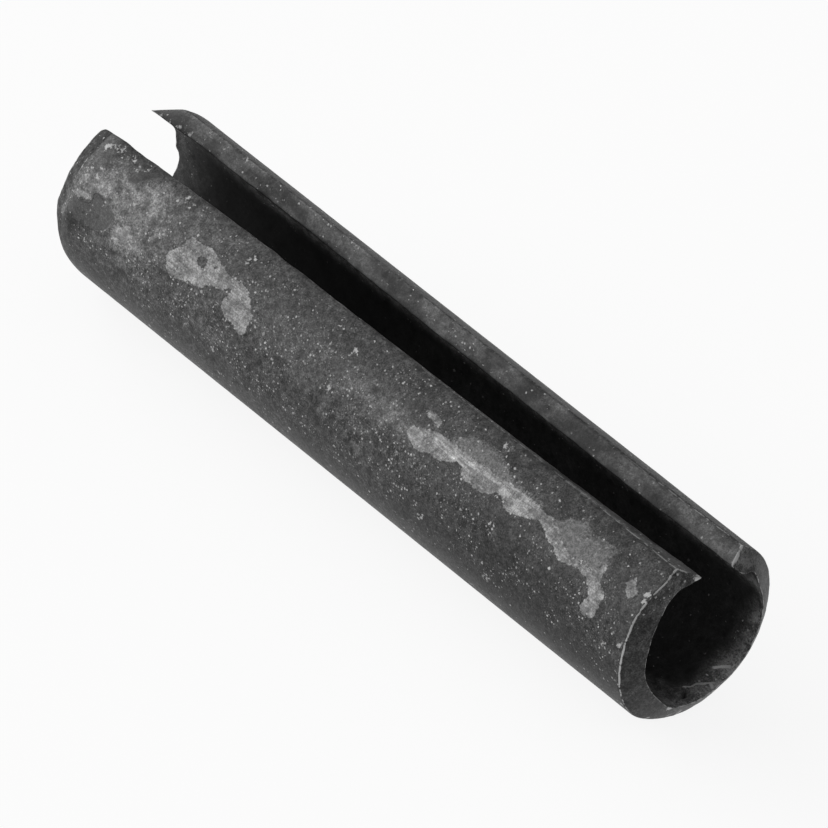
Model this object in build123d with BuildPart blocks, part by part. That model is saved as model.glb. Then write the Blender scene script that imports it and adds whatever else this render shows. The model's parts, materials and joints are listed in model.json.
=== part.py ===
from build123d import *
import math
import os

# Slotted spring pin, nominal 14 x 65 mm, light duty: one strip of spring steel rolled into
# an open tube. The strip's edges face each other across a slot that runs the whole length.
# The pin lies on its side with the slot up. +X runs along it to the plain end, +Z is up
# through the slot, and the origin is half way along the line that the pin lies on.
# All sizes are in millimetres and are those of the free pin, before it is driven home.

# Tube
pin_length = 65.0
outer_diameter = 14.6
wall_thickness = 1.5

# Lead end, at -X: a long taper that starts the pin in its hole
lead_taper_length = 2.2
lead_tip_land = 0.06
lead_blend_radius = 4.0

# Plain end, at +X: a steep bevel over the whole wall, from the bore out
plain_bevel_fall = 1.1
plain_rim_land = 0.1

# Slot: the mouth is its width between the outer corners, the throat between the inner ones.
# The front bank is the one on the -Y side. It leans in further at the plain end.
lead_mouth_width = 6.6
plain_mouth_width = 5.95
lead_throat_width = 4.4
plain_throat_width = 3.1
plain_throat_shift = 0.32
strip_corner_break = 0.2

# How far the slot's cutter stands past the metal on every side
cutter_overrun = 0.4

outer_radius = outer_diameter / 2
bore_radius = outer_radius - wall_thickness
lead_end = -pin_length / 2
plain_end = pin_length / 2

pin_axis = Axis((0, 0, outer_radius), (1, 0, 0))
side_view = Plane(pin_axis.position, x_dir=(1, 0, 0), z_dir=(0, -1, 0))
end_view = Plane(pin_axis.position, x_dir=(0, 1, 0), z_dir=(1, 0, 0))


def along_pin(station, at_lead, at_plain):
    """A size at a station on X, where it changes evenly from the lead end to the plain end."""
    share = (station - lead_end) / pin_length
    return at_lead + (at_plain - at_lead) * share


def slot_bank(outer_y, inner_y, away):
    """One bank of the slot, from above the wall to below it, with both of its corners broken.

    away is 1 for the bank on the +Y side and -1 for the one on the -Y side.
    """
    outer_corner = Vector(outer_y, math.sqrt(outer_radius**2 - outer_y**2))
    inner_corner = Vector(inner_y, math.sqrt(bore_radius**2 - inner_y**2))
    inward = (inner_corner - outer_corner).normalized()

    def broken_corner(corner, along_bank):
        """The break's end on the bank, and its line run on past the wall's surface."""
        along_surface = Vector(corner.Y, -corner.X).normalized() * away
        on_bank = corner + along_bank * strip_corner_break
        on_surface = corner + along_surface * strip_corner_break
        return on_bank, on_surface + (on_surface - on_bank).normalized() * cutter_overrun

    outer_on_bank, above_wall = broken_corner(outer_corner, inward)
    inner_on_bank, below_wall = broken_corner(inner_corner, -inward)
    over_pin = Vector(above_wall.X, outer_radius + cutter_overrun)
    return [over_pin, above_wall, outer_on_bank, inner_on_bank, below_wall]


def slot_outline(station):
    """The slot's cutter, square across the pin at a station on X."""
    half_mouth = along_pin(station, lead_mouth_width, plain_mouth_width) / 2
    half_throat = along_pin(station, lead_throat_width, plain_throat_width) / 2
    throat_middle = along_pin(station, 0, plain_throat_shift)
    front_bank = slot_bank(-half_mouth, throat_middle - half_throat, away=-1)
    back_bank = slot_bank(half_mouth, throat_middle + half_throat, away=1)
    return front_bank + back_bank[::-1]


with BuildPart() as slotted_spring_pin:
    # The rolled wall, turned from its section
    with BuildSketch(side_view):
        with BuildLine():
            Polyline(
                (lead_end, bore_radius),
                (lead_end, bore_radius + lead_tip_land),
                (lead_end + lead_taper_length, outer_radius),
                (plain_end - plain_bevel_fall, outer_radius),
                (plain_end, bore_radius + plain_rim_land),
                (plain_end, bore_radius),
                close=True,
            )
        make_face()
        taper_start = vertices().group_by(Axis.Y)[-1].sort_by(Axis.X)[0]
        fillet(taper_start, lead_blend_radius)
    revolve(axis=pin_axis)

    # The slot, which narrows towards the plain end
    for station in (lead_end - cutter_overrun, plain_end + cutter_overrun):
        with BuildSketch(end_view.offset(station)):
            with BuildLine():
                Polyline(*slot_outline(station), close=True)
            make_face()
    loft(ruled=True, mode=Mode.SUBTRACT)

slotted_spring_pin.part.label = "slotted_spring_pin"

os.makedirs("parts", exist_ok=True)
export_step(slotted_spring_pin.part, "parts/slotted_spring_pin.step")
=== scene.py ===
import json
import math
from functools import reduce

import bpy
import numpy as np
from mathutils import Matrix, Vector, noise


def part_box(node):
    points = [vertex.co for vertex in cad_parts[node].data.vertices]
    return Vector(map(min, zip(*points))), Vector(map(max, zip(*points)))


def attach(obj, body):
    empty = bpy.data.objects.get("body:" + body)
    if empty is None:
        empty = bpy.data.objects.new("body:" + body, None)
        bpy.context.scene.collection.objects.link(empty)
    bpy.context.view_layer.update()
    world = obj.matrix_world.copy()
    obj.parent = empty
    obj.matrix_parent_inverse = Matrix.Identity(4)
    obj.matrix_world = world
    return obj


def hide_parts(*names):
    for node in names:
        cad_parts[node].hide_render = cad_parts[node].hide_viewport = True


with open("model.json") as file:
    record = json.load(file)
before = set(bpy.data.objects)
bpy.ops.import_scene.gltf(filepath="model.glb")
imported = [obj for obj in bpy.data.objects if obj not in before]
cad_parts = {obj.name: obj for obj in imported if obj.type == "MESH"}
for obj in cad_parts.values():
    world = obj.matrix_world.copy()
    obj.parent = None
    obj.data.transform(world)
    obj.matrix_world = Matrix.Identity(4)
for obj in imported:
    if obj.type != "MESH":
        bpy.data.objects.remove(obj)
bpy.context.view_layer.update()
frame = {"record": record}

# A slotted spring pin that lies on its side with its slot up. It is one strip of dark spring
# steel, rolled into a tube. Places on it are given as (along, turn): along is millimetres on X
# from the middle of the pin, and turn is degrees round the pin's axis, from straight up towards
# +Y. The slot's back bank is near 25 degrees, the table is at 180 and the front bank near 335.
MM = 0.001

mounts = {mount["name"]: mount for mount in frame["record"]["mounts"]}
OUTER_RADIUS = mounts["outside"]["dims"]["r_mm"]
BORE_RADIUS = mounts["bore"]["dims"]["r_mm"]
WALL = OUTER_RADIUS - BORE_RADIUS
LOWEST, HIGHEST = (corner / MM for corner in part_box("slotted_spring_pin"))
PIN_LENGTH = HIGHEST.x - LOWEST.x

# The strip's banks: (along, turn) of the corners on the outside and in the bore
BACK_BANK_OUTSIDE = (
    (-32.2, 25.2), (-17.8, 24.7), (0.1, 24.2), (15.1, 24), (28, 24.6), (31.4, 26.3),
)
BACK_BANK_BORE = (
    (-32.3, 20.2), (-29.8, 20.2), (-27.5, 22), (-25.8, 21.8), (-22.7, 21.5), (-20.4, 22.5),
    (-16.9, 22.8), (-10, 20.8), (-4.9, 19.5), (9.1, 18.1), (24, 17.1), (29, 18.5), (32, 18.3),
)
FRONT_BANK_OUTSIDE = (
    (-32.3, 334.6), (-31.2, 333.4), (-29.8, 332.4), (-26.6, 332.6), (-22, 333.9), (-17.8, 334.9),
    (0.1, 336.3), (14.1, 337.1), (27, 336.9), (31.3, 336.3),
)
FRONT_BANK_BORE = (
    (-32.3, 334.7), (-17.8, 339.5), (-1.9, 342.6), (14.7, 344.8), (23, 346.8), (27, 347.9),
    (32, 350),
)
# How far each corner wanders in degrees, the length of a step in millimetres and the noise's seed
BACK_WANDER = (0.45, 1.6, 2)
BACK_BORE_WANDER = (0.9, 2.2, 4)
FRONT_WANDER = (0.45, 1.3, 6)
FRONT_BORE_WANDER = (0.45, 1.1, 8)

# The lead end tapers to a thin tip: (turn, size) of each part
TAPER_LENGTH = (
    (20, 2.5), (36, 2.4), (60, 2.3), (110, 2.2), (220, 2.1), (240, 1.9), (255, 1.9), (272, 2.2),
    (340, 2.3),
)
TAPER_BLEND = (
    (20, 2.4), (60, 3.6), (110, 4.5), (220, 4.2), (240, 3), (255, 3), (272, 4.2), (340, 4),
)
TIP_RADIUS = (
    (20, 5.72), (27, 5.68), (42, 5.5), (55, 5.5), (64, 5.64), (75, 5.55), (83, 5.56), (89, 5.85),
    (94, 6.02), (102, 6.04), (110, 5.95), (130, 5.84), (190, 5.8), (240, 5.82), (340, 5.82),
)
TIP_THICKNESS = 0.09
TIP_REACH = 1.6
TIP_SET_BACK = (
    (20, 0.16), (60, 0.06), (110, 0.06), (200, 0.1), (240, 0.16), (260, 0.14), (270, 0.2),
    (277, 0.32), (292, 0.36), (305, 0.4), (319, 0.38), (336, 0.33),
)
# What is worn off the tip: the depth, the share that is gone everywhere, the step in degrees and
# the seed. The horn beside the back bank has lost more, and so have both corners
TIP_WEAR = (0.05, 0.6, 5, 12)
HORN_WEAR = (0.1, 0.5, 1.6, 18)
HORN_FADES = (75, 35)
CORNER_WEAR_REACH = 0.5
CORNER_WEAR = 0.16

# The plain end: (turn, along) of the bevel's outer edge, then of its rim, and the rim's radius
BEVEL_EDGE = (
    (23.8, 31.39), (55.4, 31.39), (84, 31.24), (110, 31.35), (169.7, 31.4), (199.4, 31.31),
    (241, 31.65), (265.3, 31.58), (287.2, 31.41), (301.1, 31.29), (316.1, 31.38), (326.1, 31.46),
    (336, 31.16),
)
RIM_ALONG = (
    (17, 31.88), (24, 32.3), (40, 32.38), (90, 32.42), (150, 32.38), (180, 32.3), (200, 32.3),
    (212, 32.36), (286, 32.4), (298, 32.3), (309, 32.05), (320, 31.93), (330, 31.92), (342, 31.98),
    (351, 32),
)
RIM_RADIUS = (
    (17, 5.85), (20, 5.76), (28, 5.52), (34, 5.64), (38, 5.93), (44, 5.95), (50, 5.78), (57, 5.62),
    (65, 5.6), (72, 5.64), (89, 5.66), (120, 5.75), (150, 5.8), (172, 5.83), (190, 5.72),
    (200, 5.69), (213, 5.34), (228, 5.2), (242, 5.26), (261, 5.5), (279, 5.61), (298, 5.76),
    (310, 5.7), (320, 5.92), (330, 6), (341, 5.74), (347, 5.7), (350, 5.76),
)
# How far the edge and the rim wander in millimetres, the step in degrees and the seed
EDGE_WANDER = (0.035, 4, 14)
RIM_WANDER = (0.035, 5, 16)
RIM_SHORT_OF_END = 0.06
RIM_REACH = 0.7
# The bevel bulges by this much, over this share of the pin's length
BEVEL_CROWN = 0.05
BEVEL_CROWN_SHARE = (0.98, 1)

# A line along the back bank's outer corner turns from pale to dark: painted light near the lead
# end, where it lifts the corner's own shading, and painted shade towards the plain end. Its width,
# its value as start, change and (from, to), and what it does to the tone at the start and where it
# is 1
CORNER_LINE_WIDTH = 0.13
CORNER_LINE_CHANGE = (-0.8, 1.3, (2, 16))
CORNER_LINE_PAINTED_LIGHT = 1.4
CORNER_LINE_PAINTED_SHADE = 0.6

# How round the strip's edges are worn: two sides, and the radius between them
EDGE_ROUNDS = (
    ("back", "outside", 0.16), ("back", "bore", 0.24), ("front", "outside", 0.14),
    ("front", "bore", 0.12), ("plain", "outside", 0.1), ("plain", "bore", 0.09),
    ("plain", "back", 0.16), ("plain", "front", 0.16),
)

# Grid of the strip: the spacing near its edges in millimetres, and counts of even cells
EDGE_STEPS = (0, 0.045, 0.1, 0.17, 0.27, 0.42, 0.64)
STRIP_DEGREES = 310
TAPER_STEPS = 14
CELLS_ALONG = 210
CELLS_AROUND = 130
CELLS_THROUGH = 3
TAPER_ZONE = 4.2
MID_ARC = math.radians(STRIP_DEGREES) * (OUTER_RADIUS + BORE_RADIUS) / 2

# Unevenness of the outside, which only ever lies inside the true radius, and scale in the bore.
# Each fades in between two distances from the tip
WALL_WAVE_DEPTH = 0.02
WALL_WAVE_SIZE = 7
PITTING_DEPTH = 0.005
PITTING_SIZE = 0.9
RELIEF_FROM_TIP = (0.5, 2.5)
SCALE_DEPTH = 0.03
SCALE_SIZE = 1.3
SCALE_FROM_TIP = (0.2, 1.5)

# Shallow scars in the outside: (along, turn) of the deep end, length, half width in degrees, depth.
# Their middle wanders by some degrees, and their floor rises from a lip at the deep end
SCARS = (
    (2.1, 272.7, 2.4, 5.5, 0.07), (-2.1, 277.2, 1.5, 7, 0.035), (-10.2, 250.5, 1.2, 5, 0.04),
    (-19.8, 293.1, 1.4, 4, 0.03),
)
SCAR_WANDER = 1.2
SCAR_STEP = 0.7
SCAR_LIP = (-0.04, 0.02)
SCAR_RISE_POWER = 0.7
SCAR_FLANK = (0, 0.45)

# A flap of scale rolled over the bore's edge at the plain end: its inner edge as (along, turn), how
# high it stands and how far it fades out. Then a notch beside it
FLAP_EDGE = ((30.6, 173), (30.9, 165.5), (31.2, 161.5), (31.42, 160.5), (31.9, 154), (32.1, 149))
FLAP_HEIGHT = 0.14
FLAP_REACH = 1.2
FLAP_LIP = (-0.04, 0.05)
FLAP_WANDER = 0.05
FLAP_WANDER_SIZE = 0.3
NOTCH = ((31, 173.6), (31.35, 176.5), (31.7, 187))
NOTCH_WIDTH = 0.15
NOTCH_DEPTH = 0.3

# Where the bore turns dark behind its plain mouth, with soot and painted shade: (turn, along) and
# (turn, length of the change). Then (along, how dark it is)
SOOT_AND_SHADE_EDGE = (
    (17, 32.25), (27, 32.4), (40, 32.4), (54, 32.35), (62, 32.3), (68, 32.3), (76, 32.3),
    (83, 32.2), (91, 31.95), (99, 31.7), (111, 31.6), (120, 31.65), (129, 31.6), (139, 31.3),
    (148, 31.1), (154, 31.1), (164, 31), (170, 30.9), (176, 30.6), (182, 29.9), (190, 29.5),
    (198, 29.7), (206, 31), (214, 32), (230, 32.2), (350, 32.2),
)
SOOT_AND_SHADE_CHANGE = (
    (17, 0.2), (50, 0.3), (70, 0.8), (82, 1.7), (92, 2.1), (105, 2), (120, 1.8), (135, 1.8),
    (146, 1.6), (172, 1.3), (180, 2.6), (190, 3.6), (204, 3.6), (216, 0.8), (250, 0.3), (350, 0.3),
)
SOOT_AND_SHADE_DEPTH = (
    (-32.6, 0.35), (-31, 0.5), (-28, 0.9), (-24, 0.93), (-18, 0.96), (-10, 0.95), (-4, 0.86),
    (2, 0.78), (12, 0.74), (26, 0.79), (31, 0.82),
)
SOOT_AND_SHADE_FROM_EDGE = (-0.1, 1)
# The bore is paler under the back bank: the turns between which this comes and goes, and where
UNDER_BANK_FROM = (38, 60)
UNDER_BANK_TO = (80, 63)
UNDER_BANK_ALONG = (-31, -22)
UNDER_BANK_GAIN = 1.3
UNDER_BANK_POWER = 1.5
# Painted shade: the banks darken towards the bore, and most at its corner
BANK_PAINTED_SHADE = 0.1
BANK_CORNER_PAINTED_SHADE = 0.4
BANK_CORNER_SHADE_REACH = 0.22

# Bare bright metal at the plain end's rim and in its mouth: (along, turn, radius), and lines
BRIGHT_SPOTS = (
    (-31.6, 66, 0.1), (-31.9, 61, 0.12), (-31.3, 63, 0.07), (-31.2, 70, 0.05), (-31.9, 76, 0.06),
    (32.3, 201, 0.22), (32.25, 198, 0.13), (31.68, 183, 0.17), (31.64, 190.7, 0.13),
    (31.31, 209.2, 0.09), (31.46, 206.6, 0.1), (30.21, 194.5, 0.08), (30.44, 85.2, 0.09),
    (31.58, 82.9, 0.1), (31.78, 96, 0.09), (31.56, 107.5, 0.09), (31.67, 111.1, 0.09),
    (30.91, 151.9, 0.08), (31.27, 152.3, 0.08), (31.31, 146.6, 0.11), (31.7, 150.4, 0.11),
    (30.76, 171.3, 0.09), (30.91, 170.3, 0.07),
)
BRIGHT_LINES = (
    ((30.65, 170), (31, 167.5), (31, 162), (31.4, 158), (31.8, 154)),
    ((31.75, 155), (32.08, 156.8)), ((30.95, 144.2), (31.32, 140.5), (31.77, 137.4)),
)
BRIGHT_LINE_WIDTH = 0.15
BRIGHT_LINE_FADES = (0.12, 0.25)

# Pale scuffs in the bore and on the bevel: (along, turn, reach, half width in degrees, strength)
SCUFFS = (
    (32.3, 140, 0.6, 17, 2.6), (31.4, 138, 0.9, 14, 1.8), (32.3, 104, 0.6, 24, 2.6),
    (31.6, 104, 0.5, 12, 1.2), (31.9, 45, 0.5, 30, 1.1), (32.2, 175, 0.8, 16, 1.8),
    (31.6, 160, 0.8, 10, 1.4), (31.8, 200, 1, 10, 1), (31.6, 24, 0.5, 10, 0.8),
    (-31, 27, 0.8, 8, 2), (-31.7, 58, 0.5, 24, 2), (2, 64, 40, 7, 1.1), (31.75, 325, 0.6, 13, 0.8),
    (31.9, 186, 0.5, 7, 1.4),
)

# Pale stains on the outside: outlines as (along, turn)
STAIN_NEAR_LEAD = (
    (-19.4, 292.6), (-19.1, 288.1), (-18.8, 285.5), (-18.3, 286.8), (-17.5, 288.7), (-16.8, 291.9),
    (-16.2, 290.6), (-15.8, 292.6), (-15.2, 295.1), (-14.5, 297.7), (-13.9, 299), (-13.6, 302),
    (-13.2, 303), (-12.9, 301), (-13.3, 299), (-13.4, 295.8), (-13.2, 290.6), (-12.6, 287.4),
    (-11.6, 287.4), (-11.1, 284.9), (-10.4, 284.2), (-10.2, 288.1), (-10.4, 292.6), (-10.3, 298.3),
    (-11.1, 303.5), (-11.6, 307.3), (-12.6, 309.9), (-14.5, 309.9), (-15.5, 312.4), (-16.5, 314.4),
    (-17.8, 313.5), (-18.8, 312.4), (-18.9, 307.3), (-19.1, 302.2), (-19.6, 298.3), (-19.7, 295.1),
)
STAIN_ALONG_MIDDLE = (
    (6.5, 301.2), (7.1, 298.7), (7.9, 297), (8.6, 298), (9, 300.6), (9.8, 300.2), (10.4, 301.2),
    (10.9, 303.3), (11.4, 305.6), (11.9, 305), (12.1, 302.4), (12.7, 300.9), (13.5, 300),
    (14.3, 300.2), (14.9, 302.1), (15.4, 304.3), (15.9, 306.8), (16.3, 306.2), (16.5, 303.7),
    (17, 301.8), (17.6, 301.6), (18.1, 303.1), (18.8, 305.6), (19.4, 307.8), (20.4, 308.1),
    (21, 306.6), (21.2, 304.3), (22, 303.1), (22.6, 300.6), (23.1, 298.3), (23.9, 298.1),
    (24.3, 299.9), (24.8, 301.2), (25.8, 300.6), (26.1, 299.3), (26.6, 296.8), (26.9, 292.5),
    (26.5, 284.2), (27.1, 280.2), (27.9, 282.2), (28.1, 287.2), (28.1, 294.3), (27.9, 300.6),
    (27.2, 303.1), (27, 308.1), (26.8, 313.1), (26.2, 309), (25.9, 305), (24.8, 305.5), (23.5, 305),
    (22.6, 308), (21.8, 312), (20.9, 316.1), (19.7, 314.6), (18.1, 316.1), (16.3, 315.1),
    (14.1, 314.1), (11.6, 313.1), (9.6, 313.6), (7.9, 311.1), (6.5, 307.1),
)
STAIN_FILM = (
    (9.6, 312.1), (14.1, 311.1), (19.1, 312.1), (20.1, 314.1), (18.1, 317.1), (16.1, 317.6),
    (15.3, 321), (14.7, 324), (12.6, 325), (11.1, 324), (10.5, 318),
)
STAIN_FILM_END = (
    (20.6, 313), (21.6, 308), (23, 303.5), (25, 303.5), (26.4, 303.5), (26.8, 316.1), (26.5, 322.1),
    (25, 322.6), (23.9, 319.1), (23.6, 324), (22.8, 327), (22.2, 322), (21.5, 317),
)
STAIN_ISLAND = ((6.7, 319), (7.1, 316.5), (8, 315), (8.5, 316), (8.4, 319), (7.7, 320), (7, 320))
STAIN_SPOT = (
    (29, 311.1), (29.3, 308.1), (29.8, 306.1), (30.2, 309.1), (30.3, 312.6), (29.8, 314.1),
    (29.4, 317.1), (28.9, 314.1),
)
STAIN_AT_TAPER = (
    (-29.8, 292.5), (-29.7, 289.3), (-29.4, 288.3), (-29.1, 289.2), (-28.9, 291.3), (-28.2, 290.8),
    (-28.1, 294.5), (-28.6, 295), (-29.1, 295.3), (-29.7, 295),
)
STAIN_BESIDE_TAPER = (
    (-25.3, 286), (-24.9, 281.5), (-24.4, 281), (-24.1, 285), (-23.6, 289), (-23.5, 294.5),
    (-24.2, 294.5), (-24.6, 291), (-25.2, 292), (-25.4, 289),
)
STAIN_RING = ((-24.7, 306.5), (-24.4, 306.8), (-24.1, 308.3), (-24.3, 310.2), (-24.6, 309.6))
STAIN_HOLES = ((-16.7, 305, 0.42), (-15.4, 306, 0.22))

# The palest parts of the stains, given as the scuffs are, and streaks
STAIN_CORES = (
    (7.9, 299.5, 1.1, 3, 0.6), (11, 305.5, 1.6, 2.2, 0.9), (13.6, 308, 2.4, 2, 0.6),
    (17.6, 304.5, 0.5, 4.5, 0.9), (18.2, 309.5, 0.5, 1.6, 1.2), (23.4, 299.5, 1, 1.8, 0.6),
    (21.3, 304.3, 0.9, 2, 0.4), (27.2, 296.5, 0.8, 5, 0.4), (25.8, 302, 0.7, 2.5, 0.3),
    (-19, 298.5, 0.5, 5, 0.35), (-16.3, 292.5, 0.7, 2.5, 0.3), (-11.2, 289, 0.8, 5, 0.4),
    (-12.8, 299, 0.6, 4, 0.35), (-12.2, 307.5, 1, 2.5, 0.35),
)
STREAKS = (
    ((9.8, 304.8), (12.2, 306.6)), ((9.5, 307.6), (13.6, 308.2)), ((11.8, 310.3), (16.8, 310.8)),
    ((17.9, 313.6), (19, 314.2)), ((20.5, 313.6), (20.7, 316.2)),
)
STREAK_WIDTH = 0.16

# Dark smooth patches where scale has come off
BARE_AT_TAPER = (
    (-28.27, 289.9), (-28.1, 291.5), (-27.96, 293.2), (-28, 294.8), (-28.18, 296.4),
    (-28.04, 298.1), (-27.75, 298.7), (-27.33, 298.1), (-26.83, 296.8), (-26.17, 296.8),
    (-25.83, 295.8), (-25.54, 293.2), (-25.42, 289.9), (-25.54, 286), (-25.83, 282.7),
    (-26.17, 281.4), (-26.5, 280.1), (-27.17, 278.1), (-27.83, 276.8), (-28.9, 276.1), (-30, 276.1),
    (-30.25, 280.7), (-30, 284.6), (-29.75, 287.3), (-29.1, 288.6),
)
BARE_AT_SLOT = (
    (-26.3, 316.4), (-25.9, 315.1), (-25.4, 316.7), (-25.17, 320.6), (-24.9, 323.9), (-24.5, 326.5),
    (-23.9, 329.2), (-23.7, 330.8), (-25.25, 330.8), (-25.2, 327.8), (-25.4, 325.2), (-25.9, 323.9),
    (-26.3, 320.6),
)
BARE_BELOW = ((-28.4, 254.3), (-26.8, 251.4), (-25.7, 250.4), (-26.1, 254.3), (-27.8, 256.3))

# Bright flecks: (along, turn, radius)
FLECKS = (
    (-13.5, 321.5, 0.3), (-13.8, 289.2, 0.2), (-1.4, 319.5, 0.24), (10.2, 262.8, 0.34),
    (-0.2, 290.1, 0.14), (-1.3, 293.7, 0.15), (-29.67, 323.6, 0.3), (-29.4, 325.4, 0.15),
    (-28.6, 326.5, 0.28), (-28.9, 327, 0.2), (-28.3, 326.2, 0.2), (-29.25, 327.5, 0.13),
    (-27.1, 326.9, 0.23), (-27.3, 327.2, 0.14), (-26.9, 326.4, 0.14), (-27.7, 327.8, 0.13),
    (-25.6, 326.9, 0.19), (-26.25, 323.3, 0.08), (-30.1, 286, 0.1), (-30, 302.3, 0.1),
    (-30.1, 305.6, 0.16), (-28.9, 306.2, 0.12), (-28.6, 306.3, 0.11), (-27.96, 307.2, 0.1),
    (-29.6, 308.2, 0.08), (-28.8, 310.8, 0.07), (-24.55, 308.2, 0.26), (-24.2, 308.6, 0.16),
    (-24.4, 286, 0.13), (-27.7, 275.5, 0.1), (-27.6, 269.2, 0.08), (-25.1, 269.7, 0.09),
    (-21, 325.9, 0.14), (-21.3, 328.5, 0.1), (-20.3, 324.6, 0.09), (-20.3, 329.8, 0.09),
    (-31.2, 21.8, 0.07), (-30.8, 21.9, 0.08), (-30.4, 21.6, 0.06), (-29, 21, 0.06),
    (-28.1, 22.1, 0.09), (-29.5, 21.2, 0.05), (-28.6, 21.2, 0.05), (-26.6, 25, 0.01),
    (-22.6, 24.7, 0.02), (-24.8, 24, -0.02), (0.7, 264.1, 0.16), (17.4, 256.4, 0.3),
    (-18.2, 329, 0.15), (13.7, 329.8, 0.2), (18.1, 310.6, 0.2), (6.5, 288.3, 0.14),
    (16.6, 290, 0.17), (29.7, 274.9, 0.16), (-18.7, 275.4, 0.16), (-12.8, 264.3, 0.14),
    (31, 280.7, 0.18), (31.1, 309.1, 0.2), (31, 314.6, 0.18),
)
# Pale hazes on the outside and the banks, given as the scuffs are. The ones at (3.1, 272) and
# (-1.3, 279.6) are painted highlights on the floors of scars
HAZES_AND_HIGHLIGHTS = (
    (-24.3, 303.1, 3.4, 24, 1.2), (-27.4, 301.1, 1.6, 6, 1.2), (-24, 286.1, 2.2, 6, 0.9),
    (-29.2, 300.6, 1.2, 7, 1), (-22.4, 315.1, 2.6, 14, 0.72), (-27.6, 309.1, 2.2, 8, 0.45),
    (-24.6, 317, 1.6, 8, 0.35), (-29.5, 292.5, 0.7, 4, 1), (-30.6, 280, 0.5, 12, 0.3),
    (1.6, 306.1, 5.5, 7, 0.4), (5.1, 303.1, 3, 7, 0.45), (14.1, 318.1, 5.5, 8, 0.2),
    (24.5, 306.1, 3.5, 10, 0.2), (-16.8, 322, 3, 9, 0.3), (-18, 274, 9, 18, 0.2),
    (-30.6, 272.5, 0.3, 3, 1.2), (-31.3, 22, 1.3, 9, 0.2), (-30.4, 298, 0.35, 7, 0.5),
    (-2, 298, 12, 20, 0.08), (3.1, 272, 0.8, 3.5, 0.5), (-1.3, 279.6, 0.6, 4, 0.6),
    (-24.4, 301, 1.1, 4, 0.45), (-29, 296.5, 0.8, 3, 0.4), (-23.1, 309.8, 1.2, 5, 0.4),
)

# Darker parts of the same, and the bevel's painted shade. The patch at (1.9, 273.5) is painted
# shade at the deep end of a scar, and the one at (-30.7, 318) is painted shade on the taper
SHADES = (
    (-29.6, 271.5, 0.9, 5.5, -0.6), (-24.4, 301, 1.1, 2.6, -0.35), (-25.8, 305, 0.6, 4, -0.3),
    (20, 290, 14, 50, -0.2), (24, 258, 14, 22, -0.32), (-2, 256, 14, 18, -0.1),
    (6, 322, 26, 13, -0.16), (-27, 250, 5, 14, -0.15), (-27, 330.5, 5, 2.2, -0.35),
    (-22, 332, 5, 4, -0.25), (-30.7, 318, 1.3, 15, -0.2), (-24.9, 323, 1, 6, -0.55),
    (-29.3, 283, 0.9, 6, -0.22), (1.9, 273.5, 0.25, 2.2, -0.5), (-29.3, 275, 0.7, 4, -0.3),
    (-28.8, 313, 1.2, 8, -0.12), (-28.3, 294, 0.5, 4, -0.3), (-27.5, 298, 0.7, 2.2, -0.3),
)
BEVEL_PAINTED_SHADE = 0.92

# A band of painted shade on the taper: (turn, along) of its edge, and how dark it is. Just past
# that
# edge lie bright dashes: (turn, half width in degrees, strength)
TAPER_STEP = (
    (240, -30.4), (268, -30.5), (281, -30.6), (292, -30.6), (303, -30.6), (313, -30.6),
    (335, -30.5),
)
TAPER_PAINTED_SHADE = 0.85
TAPER_DASHES = (
    (301, 1.2, 0.7), (304.3, 1.3, 1.2), (308.8, 1.2, 1.1), (295, 2, 0.4), (289, 1.5, 0.4),
)
DASH_WIDTH = 0.08
DASH_BEYOND = 0.16

# A groove round the bevel near the back bank: (turn, distance from the bore)
GROOVE = ((26, 0.8), (36, 0.6), (48, 0.75), (58, 0.62), (68, 0.55), (78, 0.5))
GROOVE_WIDTH = 0.09

# Where a bare patch's edge stands up and has a dark line, given as the scuffs are
LIFTED_EDGES = ((-28.1, 293.5, 0.9, 5.5, 1), (-27.4, 298.5, 0.9, 2.5, 0.8))
LIFTED_WIDTH = 0.09
LIFTED_SHADE = 0.3

# How closely grit lies: a share, or its start, change and (from, to) in degrees or millimetres
GRIT_BELOW = 0.3
GRIT_ON_FRONT = (0, 0.7, (250, 268))
GRIT_TOWARDS_SLOT = (1, -0.45, (300, 322))
GRIT_PAST_LEAD = (0.6, 0.4, (-26, -20))
GRIT_TOWARDS_PLAIN = (1.25, -0.4, (6, 18))
GRIT_OFF_BANK = (0.15, 0.8)
GRIT_ON_BEVEL = (0, 0.9, (280, 325))
GRIT_IN_BORE = 0.2

# Distances that the material reads end at this many millimetres
FAR = 1.5


def through(knots, at):
    """A smooth curve through given (place, value) knots, read at an array of places."""
    places, values = np.array(knots, float).T
    slopes = np.gradient(values, places)
    left = np.clip(np.searchsorted(places, at) - 1, 0, len(places) - 2)
    span = places[left + 1] - places[left]
    f = np.clip((at - places[left]) / span, 0, 1)
    start = (1 + 2 * f) * (1 - f) ** 2 * values[left] + f * (1 - f) ** 2 * span * slopes[left]
    end = f * f * (3 - 2 * f) * values[left + 1] - f * f * (1 - f) * span * slopes[left + 1]
    return start + end


def smooth(value, low, high):
    """0 below low, 1 above high and an eased rise between them."""
    f = np.clip((value - low) / (high - low), 0, 1)
    return f * f * (3 - 2 * f)


def change(start, by, bounds, value):
    """start below bounds, start + by above them and an eased change between them."""
    return start + by * smooth(value, *bounds)


def bell(off, width):
    """1 where off is 0, falling away over about width on either side."""
    return np.exp(-((off / width) ** 2))


def ragged(at, size, seed):
    """Uneven line, about -1 to 1, with steps about size long, read at an array of places."""
    places = np.arange(at.min() - size, at.max() + size, size / 4)
    values = [noise.fractal(Vector((p / size, seed, 0.5)), 1.0, 2.0, 3) for p in places]
    return np.interp(at, places, values)


def wandering(knots, at, reach, step, seed):
    """The curve through knots, made uneven by about reach."""
    return through(knots, at) + reach * ragged(at, step, seed)


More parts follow.
